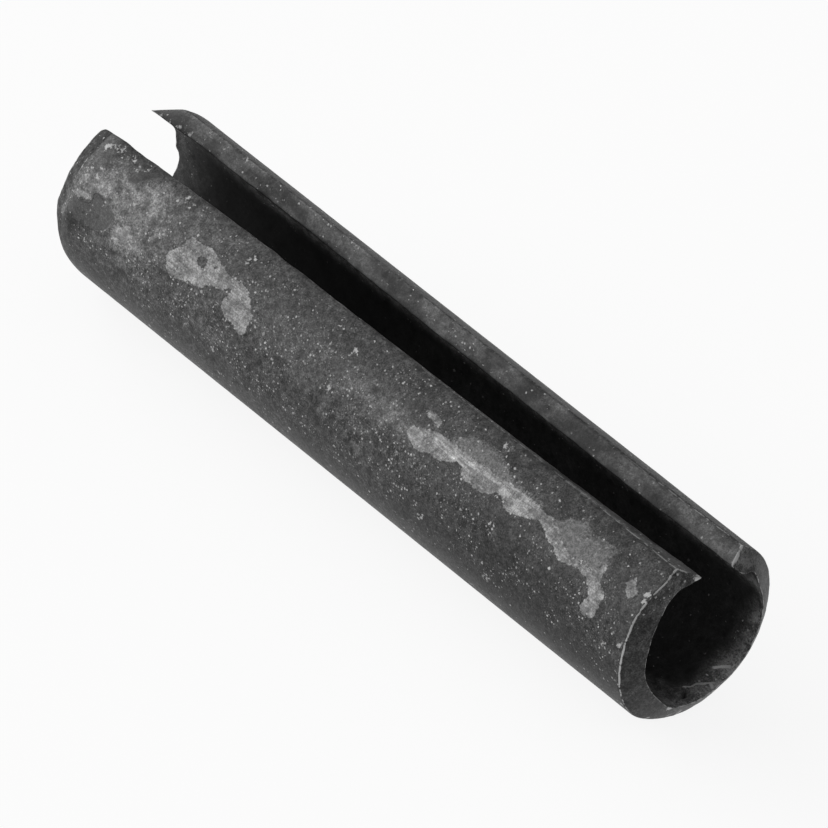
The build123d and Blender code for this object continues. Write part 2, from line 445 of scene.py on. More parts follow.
def lumps(along, turn, radius, size, seed, octaves=2):
    """Noise over a round surface, about -1 to 1, with lumps about size millimetres across."""
    angle = np.radians(turn)
    points = np.stack([along, radius * np.sin(angle), radius * np.cos(angle)], -1) / size + seed
    return np.array([noise.fractal(Vector(p), 1.0, 2.0, octaves) for p in points])


def grid_steps(length, cells, first_zone=None, first_cells=0):
    """Distances from 0 to length: close together at both ends and even between them."""
    edge = np.array(EDGE_STEPS)
    start = edge
    if first_zone:
        start = np.concatenate([edge[:-1], np.linspace(edge[-1], first_zone, first_cells)])
    middle = np.linspace(start[-1], length - edge[-1], cells + 1)
    return np.concatenate([start[:-1], middle, length - edge[-2::-1]])


def rounded(a, b, radius):
    """Rounds the edge where distance a from one face and distance b from the next are both 0."""
    on_b = (b <= 0) & (a < radius)
    on_a = (a <= 0) & (b < radius) & ~on_b
    swing_a = (1 - np.clip(a / radius, 0, 1)) * math.pi / 4
    swing_b = (1 - np.clip(b / radius, 0, 1)) * math.pi / 4
    kept_a = np.where(on_a, radius * (1 - np.cos(swing_b)), a)
    kept_b = np.where(on_a, radius * (1 - np.sin(swing_b)), b)
    new_a = np.where(on_b, radius * (1 - np.sin(swing_a)), kept_a)
    new_b = np.where(on_b, radius * (1 - np.cos(swing_a)), kept_b)
    return new_a, new_b


def strip_grid():
    """The strip as a flat block of cells. Gives its surface points as millimetres from the lead
    end, from the back bank and from the bore, and the quads that join them."""
    along = grid_steps(PIN_LENGTH, CELLS_ALONG, TAPER_ZONE, TAPER_STEPS)
    around = grid_steps(MID_ARC, CELLS_AROUND)
    depth = grid_steps(WALL, CELLS_THROUGH)
    shape = (len(along), len(around), len(depth))
    i, j, k = np.indices(shape)
    last = [n - 1 for n in shape]
    on_surface = np.zeros(shape, bool)
    for at, end in zip((i, j, k), last):
        on_surface |= (at == 0) | (at == end)
    number = np.full(shape, -1)
    number[on_surface] = np.arange(on_surface.sum())
    sides = [
        (number[:, :, -1], False), (number[:, :, 0], True), (number[:, 0, :], False),
        (number[:, -1, :], True), (number[0, :, :], True), (number[-1, :, :], False),
    ]
    quads = []
    for side, turned in sides:
        corners = [side[:-1, :-1], side[1:, :-1], side[1:, 1:], side[:-1, 1:]]
        quad = np.stack(corners, -1).reshape(-1, 4)
        quads.append(quad[:, ::-1] if turned else quad)
    return along[i[on_surface]], around[j[on_surface]], depth[k[on_surface]], np.concatenate(quads)


def lead_profile(turn, past_tip):
    """Radius of the outside at a distance past the tip of the lead end."""
    tip = through(TIP_RADIUS, turn) + TIP_THICKNESS
    length = through(TAPER_LENGTH, turn)
    blend = through(TAPER_BLEND, turn)
    slope = np.arctan2(OUTER_RADIUS - tip, length)
    reach = blend * np.tan(slope / 2)
    blend_start = length - reach * np.cos(slope)
    blend_end = length + reach
    on_taper = tip + past_tip * np.tan(slope)
    on_blend = OUTER_RADIUS - blend + np.sqrt(np.maximum(blend**2 - (blend_end - past_tip) ** 2, 0))
    past_taper = np.where(past_tip < blend_end, on_blend, OUTER_RADIUS)
    return np.where(past_tip < blend_start, on_taper, past_taper)


def outside_relief(along, turn):
    """How far the outside lies below its true radius: slow waves, fine pitting and scars."""
    waves = WALL_WAVE_DEPTH * (0.5 - 0.5 * lumps(along, turn, OUTER_RADIUS, WALL_WAVE_SIZE, 3.1))
    pits = PITTING_DEPTH * (1 - lumps(along, turn, OUTER_RADIUS, PITTING_SIZE, 7.7, 3))
    relief = np.maximum(waves, 0) + pits
    for place, middle, length, half_width, depth in SCARS:
        f = (along - place) / length
        across = (turn - middle + SCAR_WANDER * ragged(along, SCAR_STEP, place)) / half_width
        ramp = smooth(f, *SCAR_LIP) * np.clip(1 - f, 0, 1) ** SCAR_RISE_POWER
        relief += depth * ramp * smooth(1 - np.abs(across), *SCAR_FLANK)
    return relief


def from_run(x, y, start, run):
    """Distance to a straight line, given as its start and its run."""
    off_x, off_y = x - start[0], y - start[1]
    share = np.clip((off_x * run[0] + off_y * run[1]) / (run[0] ** 2 + run[1] ** 2), 0, 1)
    return np.hypot(off_x - share * run[0], off_y - share * run[1])


def from_line(corners, radius, along, turn):
    """Distance to a line through (along, turn) corners, and the signed one: above 0 to its left."""
    arc = np.radians(turn) * radius
    corners = [(place, math.radians(middle) * radius) for place, middle in corners]
    nearest = np.full(len(along), np.inf)
    signed = np.zeros(len(along))
    for (ax, ay), (bx, by) in zip(corners[:-1], corners[1:]):
        run = bx - ax, by - ay
        off = from_run(along, arc, (ax, ay), run)
        side = ((arc - ay) * run[0] - (along - ax) * run[1]) / math.hypot(*run)
        closer = off < nearest
        nearest = np.where(closer, off, nearest)
        signed = np.where(closer, side, signed)
    return nearest, signed


def bore_relief(along, turn):
    """How far the bore's wall lies inside its true radius: scale, a flap and a notch."""
    relief = SCALE_DEPTH * lumps(along, turn, BORE_RADIUS, SCALE_SIZE, 11.3, 3)
    near, side = from_line(FLAP_EDGE, BORE_RADIUS, along, turn)
    side += FLAP_WANDER * lumps(along, turn, BORE_RADIUS, FLAP_WANDER_SIZE, 5.2, 2)
    relief += FLAP_HEIGHT * smooth(side, *FLAP_LIP) * np.exp(-near / FLAP_REACH)
    notch, _ = from_line(NOTCH, BORE_RADIUS, along, turn)
    return relief - NOTCH_DEPTH * bell(notch, NOTCH_WIDTH)


def place_strip(from_lead, from_back, from_bore):
    """Rolls the flat block into the pin. Gives each point's place, and its along and turn."""
    share = from_lead / PIN_LENGTH
    base_along = LOWEST.x + from_lead
    around = from_back / MID_ARC

    back_out = wandering(BACK_BANK_OUTSIDE, base_along, *BACK_WANDER)
    back_in = wandering(BACK_BANK_BORE, base_along, *BACK_BORE_WANDER)
    front_out = wandering(FRONT_BANK_OUTSIDE, base_along, *FRONT_WANDER)
    front_in = wandering(FRONT_BANK_BORE, base_along, *FRONT_BORE_WANDER)
    turn_out = back_out + (front_out - back_out) * around
    turn_in = back_in + (front_in - back_in) * around

    to_bank = np.minimum(from_back, MID_ARC - from_back)
    corner_wear = CORNER_WEAR * np.clip(1 - to_bank / CORNER_WEAR_REACH, 0, 1) ** 2

    def worn_off(depth, everywhere, step, seed):
        return depth * (everywhere + ragged(turn_out, step, seed))

    tip_wear = worn_off(*TIP_WEAR)
    tip_wear += worn_off(*HORN_WEAR) * smooth(turn_out, *HORN_FADES)
    tip_along = LOWEST.x + through(TIP_SET_BACK, turn_out) + corner_wear + np.maximum(tip_wear, 0)
    edge_along = wandering(BEVEL_EDGE, turn_out, *EDGE_WANDER)
    rim_along = wandering(RIM_ALONG, turn_in, *RIM_WANDER)
    rim_along = np.minimum(rim_along, HIGHEST.x - RIM_SHORT_OF_END)

    along_out = tip_along + (edge_along - tip_along) * share
    along_in = tip_along + (rim_along - tip_along) * share

    past_tip = along_out - tip_along
    relief = outside_relief(along_out, turn_out) * smooth(past_tip, *RELIEF_FROM_TIP)
    radius_out = lead_profile(turn_out, past_tip) - relief
    to_rim, to_tip = rim_along - along_in, along_in - tip_along
    at_rim = (through(RIM_RADIUS, turn_in) - BORE_RADIUS) * np.exp(-to_rim / RIM_REACH)
    at_tip = (through(TIP_RADIUS, turn_in) - BORE_RADIUS) * np.exp(-to_tip / TIP_REACH)
    scale = bore_relief(along_in, turn_in) * smooth(to_tip, *SCALE_FROM_TIP)
    radius_in = BORE_RADIUS + at_rim + at_tip - scale

    def rolled(along, turn, radius):
        angle = np.radians(turn)
        return np.stack([along, radius * np.sin(angle), OUTER_RADIUS + radius * np.cos(angle)], -1)

    depth = (from_bore / WALL)[:, None]
    outside = rolled(along_out, turn_out, radius_out)
    inside = rolled(along_in, turn_in, radius_in)
    place = inside + (outside - inside) * depth
    crown = BEVEL_CROWN * np.sin(math.pi * depth[:, 0])
    place[:, 0] += crown * smooth(share, *BEVEL_CROWN_SHARE)
    along = along_in + (along_out - along_in) * depth[:, 0]
    turn = turn_in + (turn_out - turn_in) * depth[:, 0]
    return np.clip(place, LOWEST, HIGHEST), along, turn


def inside_outline(outline, along, turn):
    """Distance to an outline on the outside, in millimetres: negative when not within it."""
    per_degree = math.radians(1) * OUTER_RADIUS
    corners = np.array(outline, float) * (1, per_degree)
    x, y = along, turn * per_degree
    nearest = np.full(len(x), np.inf)
    inside = np.zeros(len(x), bool)
    for (ax, ay), (bx, by) in zip(corners, np.roll(corners, -1, 0)):
        run = bx - ax, by - ay
        nearest = np.minimum(nearest, from_run(x, y, (ax, ay), run))
        crosses = (ay > y) != (by > y)
        if run[1]:
            inside ^= crosses & (x < ax + (y - ay) / run[1] * run[0])
    return np.where(inside, nearest, -nearest)


def inside_disc(surface, along, turn, place, middle, radius):
    """The same for a round spot on a surface of this radius."""
    return radius - np.hypot(along - place, np.radians(turn - middle) * surface)


def patches(places, along, turn):
    """Soft-edged patches, each given as (along, turn, reach, half width in degrees, strength)."""
    total = np.zeros(len(along))
    for place, middle, reach, half_width, strength in places:
        off, turned = (along - place) / reach, (turn - middle) / half_width
        total += strength * np.exp(-off**2 - turned**2)
    return total


def grit_share(along, turn, sides, from_front):
    """How closely grit lies, from 0 to about 1."""
    share = GRIT_BELOW + change(*GRIT_ON_FRONT, turn) * change(*GRIT_TOWARDS_SLOT, turn)
    share *= change(*GRIT_PAST_LEAD, along) * change(*GRIT_TOWARDS_PLAIN, along)
    share *= np.where(sides["outside"], smooth(from_front, *GRIT_OFF_BANK), 1)
    share = np.where(sides["bevel"], change(*GRIT_ON_BEVEL, turn), share)
    return np.where(sides["outside"] | sides["bank"] | sides["bevel"], share, GRIT_IN_BORE)


def bore_soot_and_shade(along, turn):
    """How dark the bore is, sooty and in painted shade: 0 at its plain mouth, paler under the back
    bank.
    """
    past_edge = (through(SOOT_AND_SHADE_EDGE, turn) - along) / through(SOOT_AND_SHADE_CHANGE, turn)
    soot_and_shade = smooth(past_edge, *SOOT_AND_SHADE_FROM_EDGE) * through(SOOT_AND_SHADE_DEPTH, along)
    under_bank = smooth(turn, *UNDER_BANK_TO) * smooth(turn, *UNDER_BANK_FROM)
    under_bank *= smooth(along, *UNDER_BANK_ALONG)
    # The notch gets a dark line of painted shade
    notch, _ = from_line(NOTCH[:2], BORE_RADIUS, along, turn)
    soot_and_shade *= 1 - UNDER_BANK_GAIN * under_bank**UNDER_BANK_POWER
    return np.maximum(soot_and_shade, bell(notch, NOTCH_WIDTH))


def surface_fields(along, turn, sides, to):
    """What the material reads: how the surface is stained, bared, worn or sooty, and painted light
    and shade.
    """
    outside, bank, bore = sides["outside"], sides["bank"], sides["bore"]
    shown = outside | bank

    def nearest(fields):
        return np.clip(np.max(fields, 0), -FAR, FAR)

    def inside_any(*outlines):
        return nearest([inside_outline(outline, along, turn) for outline in outlines])

    stain = inside_any(
        STAIN_NEAR_LEAD, STAIN_ALONG_MIDDLE, STAIN_SPOT, STAIN_AT_TAPER, STAIN_BESIDE_TAPER,
        STAIN_RING, STAIN_ISLAND,
    )
    for hole in STAIN_HOLES:
        stain = np.minimum(stain, -inside_disc(OUTER_RADIUS, along, turn, *hole))
    film = inside_any(STAIN_FILM, STAIN_FILM_END)
    bare = inside_any(BARE_AT_TAPER, BARE_AT_SLOT, BARE_BELOW)
    core = patches(STAIN_CORES, along, turn)
    for line in STREAKS:
        core += bell(from_line(line, OUTER_RADIUS, along, turn)[0], STREAK_WIDTH)
    taper = np.clip(along - through(TAPER_STEP, turn), -FAR, FAR)
    dashed = np.zeros(len(along))
    for middle, half_width, strength in TAPER_DASHES:
        dashed += strength * bell(turn - middle, half_width)
    fleck = nearest([inside_disc(OUTER_RADIUS, along, turn, *spot) for spot in FLECKS])

    bright = nearest([inside_disc(BORE_RADIUS, along, turn, *spot) for spot in BRIGHT_SPOTS])
    lines = [from_line(line, BORE_RADIUS, along, turn) for line in BRIGHT_LINES]
    off, side = np.array(lines).swapaxes(0, 1)
    nearest_line = np.argmin(off, 0), np.arange(len(along))
    line_off = np.minimum(off[nearest_line], FAR)
    # Painted shade on the banks: darker towards the bore, and most at its corner
    bank_painted_shade = BANK_PAINTED_SHADE - BANK_PAINTED_SHADE * to["bore"] / WALL
    bank_painted_shade += BANK_CORNER_PAINTED_SHADE * np.exp(-to["bore"] / BANK_CORNER_SHADE_REACH)
    return {
        "stain": np.where(outside, stain, -FAR),
        "film": np.where(outside, film, -FAR),
        "bare": np.where(outside, bare, -FAR),
        "fleck": np.where(shown, fleck, -FAR),
        "bright": np.where(shown, -FAR, bright),
        "line_off": np.where(shown, FAR, line_off),
        "line_side": np.clip(side[nearest_line], -FAR, FAR),
        "taper": np.where(outside, taper, FAR),
        "dashed": np.where(outside, dashed, 0),
        "lifted": np.where(outside, patches(LIFTED_EDGES, along, turn), 0),
        "bank": bank.astype(float),
        # The darker patches, some of them painted shade, and the bevel's painted shade
        "shade": np.where(
            shown, 1 + patches(SHADES, along, turn), np.where(sides["bevel"], BEVEL_PAINTED_SHADE, 1)
        ),
        "core": np.where(outside, core, 0),
        "haze_and_highlight": np.where(shown, patches(HAZES_AND_HIGHLIGHTS, along, turn), 0),
        "speckled": grit_share(along, turn, sides, to["front"]),
        "soot_and_shade": np.where(bore, bore_soot_and_shade(along, turn), np.where(bank, bank_painted_shade, 0)),
        "scuffed": np.where(bore | sides["bevel"], patches(SCUFFS, along, turn), 0),
    }


def edge_wear(along, turn, to):
    """How bright each edge is worn: above 0 near it and 0 away from it."""
    front_outside = change(0.1, 0.13, (-4, 6), along) + 0.06 * smooth(along, 14, 30)
    # The two sides that meet in an edge, the width of its wear in millimetres and the strength
    edges = (
        ("plain", "outside", 0.055, change(0.3, 0.7, (225, 280), turn)),
        ("plain", "bore", 0.08, 0.4),
        ("plain", "front", 0.14, 0.4),
        ("plain", "back", 0.1, 1.7),
        ("front", "bore", 0.08, change(0.15, 0.4, (0, 26), along)),
        ("front", "outside", 0.08, front_outside),
        ("back", "outside", 0.09, change(0.1, 0.2, (12, 28), along)),
    )
    wear = 0.3 * bell(to["lead"], 0.12)
    for first, second, width, strength in edges:
        wear = np.maximum(wear, bell(to[first] + to[second], width) * strength)
    # The rim's corner by the front bank
    from_rim, from_bank = (to["plain"] + to["bore"]) / 0.28, to["front"] / 0.6
    return np.maximum(wear, 1.7 * np.exp(-(from_rim**2) - from_bank**2))


def added(name, data):
    thing = bpy.data.objects.new(name, data)
    bpy.context.collection.objects.link(thing)
    return thing


def build_pin():
    """The pin's mesh, with the fields that its material reads."""
    from_lead, from_back, from_bore, quads = strip_grid()
    to = {
        "lead": from_lead, "plain": PIN_LENGTH - from_lead,
        "back": from_back, "front": MID_ARC - from_back,
        "bore": from_bore, "outside": WALL - from_bore,
    }
    sides = {
        "outside": to["outside"] <= 0,
        "bore": to["bore"] <= 0,
        "bank": (to["back"] <= 0) | (to["front"] <= 0),
        "bevel": to["plain"] <= 0,
    }
    flat = dict(to)
    for first, second, radius in EDGE_ROUNDS:
        to[first], to[second] = rounded(to[first], to[second], radius)
    back, bore = to["back"], to["bore"]
    from_back = np.where(back < MID_ARC / 2, back, MID_ARC - to["front"])
    from_bore = np.where(bore < WALL / 2, bore, WALL - to["outside"])
    place, along, turn = place_strip(PIN_LENGTH - to["plain"], from_back, from_bore)

    mesh = bpy.data.meshes.new("spring_pin")
    mesh.from_pydata((place * MM).tolist(), [], quads.tolist())
    mesh.validate()
    mesh.polygons.foreach_set("use_smooth", [True] * len(mesh.polygons))
    fields = surface_fields(along, turn, sides, flat)
    fields["worn"] = edge_wear(along, turn, flat)
    # The back bank's outer corner line: painted light near the lead end, painted shade further on
    seam = bell(flat["back"] + flat["outside"], CORNER_LINE_WIDTH)
    fields["seam"] = seam * change(*CORNER_LINE_CHANGE, along)
    groove = np.where(sides["bevel"], from_bore - through(GROOVE, turn), FAR)
    (first_turn, _), (last_turn, _) = GROOVE[0], GROOVE[-1]
    fields["groove"] = np.where((turn > first_turn) & (turn < last_turn), groove, FAR)
    for name, values in fields.items():
        attribute = mesh.attributes.new(name, "FLOAT", "POINT")
        attribute.data.foreach_set("value", values.astype(np.float32))
    strip = np.stack([along, np.radians(turn) * OUTER_RADIUS, from_bore], -1).astype(np.float32)
    mesh.attributes.new("strip", "FLOAT_VECTOR", "POINT").data.foreach_set("vector", strip.ravel())
    mesh.update()
    return added("spring_pin", mesh)


class Shading:
    """Short forms for a material's nodes."""

    def __init__(self, material):
        material.use_nodes = True
        self.tree = material.node_tree
        self.shader = self.tree.nodes["Principled BSDF"]

    def fill(self, node, inputs):
        """Puts numbers into a node's inputs, or links the outputs of other nodes to them."""
        for name, value in inputs.items():
            if isinstance(value, bpy.types.NodeSocket):
                self.tree.links.new(value, node.inputs[name])
            else:
                node.inputs[name].default_value = value

    def node(self, kind, inputs, **settings):
        """Adds a node and gives its outputs."""
        node = self.tree.nodes.new("ShaderNode" + kind)
        for name, value in settings.items():
            setattr(node, name, value)
        self.fill(node, inputs)
        return node.outputs

    def math(self, operation, a, b=0):
        return self.node("Math", {0: a, 1: b}, operation=operation)[0]

    def add(self, *values):
        return reduce(lambda total, value: self.math("ADD", total, value), values)

    def times(self, *values):
        return reduce(lambda total, value: self.math("MULTIPLY", total, value), values)

    def rise(self, value, low, high, start=0, end=1):
        """start below low, end above high and an eased change between them."""
        inputs = {"Value": value, "From Min": low, "From Max": high, "To Min": start, "To Max": end}
        return self.node("MapRange", inputs, interpolation_type="SMOOTHSTEP")["Result"]

    def band(self, off, width):
        """1 where off is 0, and 0 from width away on either side."""
        return self.rise(self.math("ABSOLUTE", off), 0, width, 1, 0)

    def mix(self, factor, a, b):
        return self.node("Mix", {"Factor": factor, "A": a, "B": b})["Result"]


class Steel(Shading):
    """The pin's material: its mesh's fields by name, and the noises and specks it is made of."""

    def __init__(self, material):
        super().__init__(material)
        place = self.node("TexCoord", {})["Object"]
        scale = {0: place, "Scale": 1 / MM}
        self.millimetres = self.node("VectorMath", scale, operation="SCALE")["Vector"]
        self.fine, self.patchy = self.grain(0.13, 2, 0.6), self.grain(0.34, 3, 0.6)
        self.medium, self.broad = self.grain(0.9, 4, 0.6), self.grain(3.4, 3, 0.55)
        self.streaks = self.grain(1, 3, 0.6, self.stretched(3, 0.2))
        self.blotch = self.math("SUBTRACT", self.medium, 0.5)
        self.grit = self.math("SUBTRACT", self.fine, 0.5)

    def __getitem__(self, field):
        return self.node("Attribute", {}, attribute_name=field)["Fac"]

    def stretched(self, along, around):
        """Places on the unrolled strip, in cells along and around it."""
        strip = self.node("Attribute", {}, attribute_name="strip")["Vector"]
        cells = {0: strip, 1: (1 / along, 1 / around, 1 / around)}
        return self.node("VectorMath", cells, operation="MULTIPLY")["Vector"]

    def grain(self, size, detail=2, roughness=0.5, places=None):
        """Noise from 0 to 1, 0.5 on average, with lumps size millimetres across."""
        inputs = {"Scale": 1 / size, "Detail": detail, "Roughness": roughness}
        return self.node("TexNoise", inputs | {"Vector": places or self.millimetres})["Fac"]

    def specks(self, cell, smallest, largest, share, places):
        """Small spots, one at most in each cell, on this share of the cells."""
        spots = self.node("TexVoronoi", {"Scale": 1 / cell, "Vector": places})
        chance = self.node("SeparateColor", {"Color": spots["Color"]})
        radius = self.rise(chance["Red"], 0, 1, smallest / cell, largest / cell)
        there = self.math("LESS_THAN", chance["Green"], share)
        spot = self.rise(self.math("DIVIDE", spots["Distance"], radius), 0.6, 1, 1, 0)
        return self.times(spot, there), chance["Blue"]

    def shaken(self, size, reach):
        """Places moved by about reach millimetres, so that round spots come out ragged."""
        shift = self.node("TexNoise", {"Scale": 1 / size, "Vector": self.millimetres})["Color"]
        # Most of the noise lies within a quarter of its range
        moved = {0: shift, 1: (reach * 4,) * 3, 2: self.millimetres}
        return self.node("VectorMath", moved, operation="MULTIPLY_ADD")["Vector"]


# Spots: the cell that may hold one, and the least and the largest radius, in millimetres
SMALL_SPECKS = (0.27, 0.045, 0.105)
LARGE_SPECKS = (0.85, 0.09, 0.17)
DARK_SPOTS = (0.8, 0.15, 0.35)

# How bright things are, what hazes with painted highlights, cores and scuffs add, and what
# soot with painted shade and dark spots leave
STEEL_TONES = (0.041, 0.056)
STAIN_TONES = (0.165, 0.205)
BARE_TONES = (0.064, 0.08)
FLECK_TONES = (0.18, 0.38)
FILM_TONE = 0.135
SMALL_TONE = 0.42
LARGE_TONE = 0.46
DUST_TONE = 0.25
GROOVE_TONE = 0.12
WORN_TONE = 0.42
HAZE_AND_HIGHLIGHT_GAIN = 0.062
CORE_GAIN = 0.09
SCUFF_GAIN = 0.055
SOOT_AND_SHADE_LEAVES = 0.05
SPOT_SHADE = 0.62

# The distances from its outline over which each begins
STEP_EDGE = (-0.1, 0.06)
FILM_EDGE = (-0.25, 0.35)
STAIN_EDGE = (-0.03, 0.07)
BARE_EDGE = (-0.03, 0.06)
FLECK_EDGE = (-0.04, 0.08)
BRIGHT_EDGE = (-0.02, 0.04)

STEEL_ROUGHNESS = (0.44, 0.58)
STAIN_ROUGHNESS = 0.62
DULL_ROUGHNESS = 0.9
WORN_ROUGHNESS = 0.36


def with_grit(s, tone, stain, bare):
    """The tone with pale specks, dust and dark spots, and where small and large specks are."""
    share = s["speckled"]
    crowd = s.rise(s.grain(1.6, 2), 0.38, 0.62, 0.2, 1)
    share = s.times(share, crowd, s.mix(bare, 1, 0.3))
    places = s.shaken(0.12, 0.05)
    small, small_light = s.specks(*SMALL_SPECKS, s.times(share, 0.9), places)
    large, large_light = s.specks(*LARGE_SPECKS, s.times(share, 0.4), places)
    tone = s.mix(s.times(small, s.rise(small_light, 0, 1, 0.15, 1)), tone, SMALL_TONE)
    tone = s.mix(s.times(large, s.rise(large_light, 0, 1, 0.25, 1)), tone, LARGE_TONE)
    dust = s.times(s.rise(s.grain(0.11, 1), 0.6, 0.72), share)
    tone = s.mix(s.times(dust, 0.5), tone, DUST_TONE)
    spots, _ = s.specks(*DARK_SPOTS, s.times(s.mix(stain, 1, 0.3), 0.6), places)
    return s.times(tone, s.mix(spots, 1, SPOT_SHADE)), small, large


def worn_bright(s):
    """Where metal shines: worn edges, the mouth's spots and lines and the taper's dashes."""
    edges = s.times(s["worn"], s.rise(s.grain(0.45, 3, 0.6), 0.34, 0.58, 0.3, 1.6))
    spots = s.rise(s.add(s["bright"], s.times(s.grit, 0.25)), *BRIGHT_EDGE)
    line = s.math("ABSOLUTE", s.add(s["line_side"], s.times(s.grit, 0.1)))
    line = s.rise(line, BRIGHT_LINE_WIDTH / 2, BRIGHT_LINE_WIDTH, 1, 0)
    line = s.times(line, s.rise(s["line_off"], *BRIGHT_LINE_FADES, 1, 0))
    line = s.times(line, s.rise(s.patchy, 0.2, 0.4))
    spots = s.math("MAXIMUM", spots, line)
    off_dash = s.add(s["taper"], DASH_BEYOND, s.times(s.grit, 0.2))
    dashes = s.times(s.band(off_dash, DASH_WIDTH), s["dashed"])
    return s.math("MAXIMUM", s.math("MAXIMUM", s.rise(edges, 0.18, 0.7), spots), dashes)


def spring_steel():
    material = bpy.data.materials.new("spring_steel")
    s = Steel(material)

    # The steel, with hazes and painted highlights, darker patches and painted shade, clouds on the
    # banks and a band of painted shade on the taper
    tone = s.rise(s.broad, 0.3, 0.7, *STEEL_TONES)
    tone = s.times(tone, s.rise(s.medium, 0.3, 0.7, 0.65, 1.35))
    haze_and_highlight = s.times(s["haze_and_highlight"], s.rise(s.medium, 0.34, 0.64, 0.4, 1.65))
    tone = s.times(s.add(tone, s.times(haze_and_highlight, HAZE_AND_HIGHLIGHT_GAIN)), s["shade"])
    clouds = s.rise(s.grain(1.5, 3, 0.55, s.stretched(2.2, 1.1)), 0.38, 0.6, 0.58, 1.6)
    tone = s.times(tone, s.mix(s["bank"], 1, clouds))
    # A band of painted shade on the taper, which is also rougher
    step = s.rise(s.add(s["taper"], s.times(s.blotch, 0.3)), *STEP_EDGE)
    tone = s.times(tone, s.mix(step, TAPER_PAINTED_SHADE, 1))

    # Stains with their film and cores, and bare patches, all with uneven edges
    uneven = s.add(s.times(s.blotch, 0.75), s.times(s.grit, 0.16))
    film = s.add(s["film"], s.times(s.blotch, 1.2), s.times(s.grit, 0.4))
    film = s.rise(film, *FILM_EDGE)
    stain = s.rise(s.add(s["stain"], uneven), *STAIN_EDGE)
    core = s.times(s["core"], s.rise(s.streaks, 0.35, 0.65, 0.5, 1.3))
    stain_tone = s.rise(s.broad, 0.35, 0.65, *STAIN_TONES)
    stain_tone = s.times(stain_tone, s.rise(s.medium, 0.3, 0.7, 0.6, 1.35))
    stain_tone = s.times(stain_tone, s.rise(s.streaks, 0.3, 0.7, 0.75, 1.3))
    stain_tone = s.add(stain_tone, s.times(core, CORE_GAIN))
    tone = s.mix(s.times(film, 0.8), tone, FILM_TONE)
    tone = s.mix(stain, tone, stain_tone)
    bare = s.rise(s.add(s["bare"], uneven), *BARE_EDGE)
    bare_tone = s.times(s.rise(s.broad, 0.35, 0.65, *BARE_TONES), s["shade"])
    tone = s.mix(s.times(bare, 0.95), tone, bare_tone)
    lip = s.band(s.add(s["bare"], uneven), LIFTED_WIDTH)
    tone = s.times(tone, s.mix(s.times(lip, s["lifted"]), 1, LIFTED_SHADE))

    # Fine mottling, which is fainter on all that lies on the steel and in painted shade and
    # highlights
    even = s.add(
        s.times(s.math("MAXIMUM", stain, film), 0.3), s.times(s["soot_and_shade"], 0.7),
        s.times(s["bank"], 0.35), s.times(bare, 0.35), s.times(s["haze_and_highlight"], 0.12),
    )
    mottling = s.rise(s.fine, 0.25, 0.75, 0.35, 1.65)
    mottling = s.times(mottling, s.rise(s.patchy, 0.25, 0.75, 0.5, 1.5))
    tone = s.times(tone, s.mix(even, mottling, 1))
    tone, small, large = with_grit(s, tone, stain, bare)

    # Flecks, scuffs and the groove, then soot with painted shade, the back bank's corner line of
    # painted light and shade, and bright metal
    rough_edge = s.add(
        s.times(s.blotch, 0.6), s.times(s.grit, 0.5),
        s.times(s.math("SUBTRACT", s.patchy, 0.5), 0.9),
    )
    fleck = s.rise(s.add(s["fleck"], rough_edge), *FLECK_EDGE)
    tone = s.mix(fleck, tone, s.rise(s.patchy, 0.3, 0.7, *FLECK_TONES))
    scuffed = s["scuffed"]
    uneven = s.rise(s.add(s.medium, s.times(s.grit, 0.6)), 0.35, 0.65, 0.3, 1.4)
    tone = s.add(tone, s.times(scuffed, uneven, SCUFF_GAIN))
    groove = s.band(s.add(s["groove"], s.times(s.grit, 0.1)), GROOVE_WIDTH)
    tone = s.mix(s.times(groove, 0.6), tone, GROOVE_TONE)
    # Soot and painted shade in the bore and on the banks darken the tone
    darkened = s.mix(s["soot_and_shade"], 1, SOOT_AND_SHADE_LEAVES)
    # The corner line: painted shade where it is above 0 and painted light where it is below
    tone = s.times(tone, darkened, s.mix(s["seam"], 1, CORNER_LINE_PAINTED_SHADE))
    tone = s.times(tone, s.rise(s["seam"], CORNER_LINE_CHANGE[0], 0, CORNER_LINE_PAINTED_LIGHT, 1))
    worn = worn_bright(s)
    tone = s.mix(worn, tone, WORN_TONE)

    colour = s.node("CombineColor", {"Red": tone, "Green": tone, "Blue": tone})["Color"]
    rough = s.mix(worn, s.rise(s.medium, 0.3, 0.7, *STEEL_ROUGHNESS), WORN_ROUGHNESS)
    rough = s.mix(s["soot_and_shade"], s.mix(stain, rough, STAIN_ROUGHNESS), DULL_ROUGHNESS)
    rough = s.mix(step, DULL_ROUGHNESS, rough)
    metal = s.times(worn, 0.5)
    # How far each stands out, in millimetres
    height = s.add(
        s.times(s.fine, 0.008), s.times(s.patchy, 0.01), s.times(small, 0.01),
        s.times(large, 0.016), s.times(stain, -0.012), s.times(bare, -0.02), s.times(fleck, 0.02),
    )
    normal = s.node("Bump", {"Distance": MM, "Height": height})["Normal"]
    s.fill(s.shader, {
        "Base Color": colour, "Roughness": rough, "Metallic": metal, "Normal": normal,
        "Specular IOR Level": 0.16,
    })
    return material


# Camera: where it stands round the pin, in degrees and millimetres, and how it frames it
CAMERA_AZIMUTH = 42.84
CAMERA_ELEVATION = 35.11
CAMERA_ROLL = 10.35
CAMERA_DISTANCE = 869.3
CAMERA_LENS = 524.6
AIM_RIGHT = 0.651
AIM_UP = -0.768


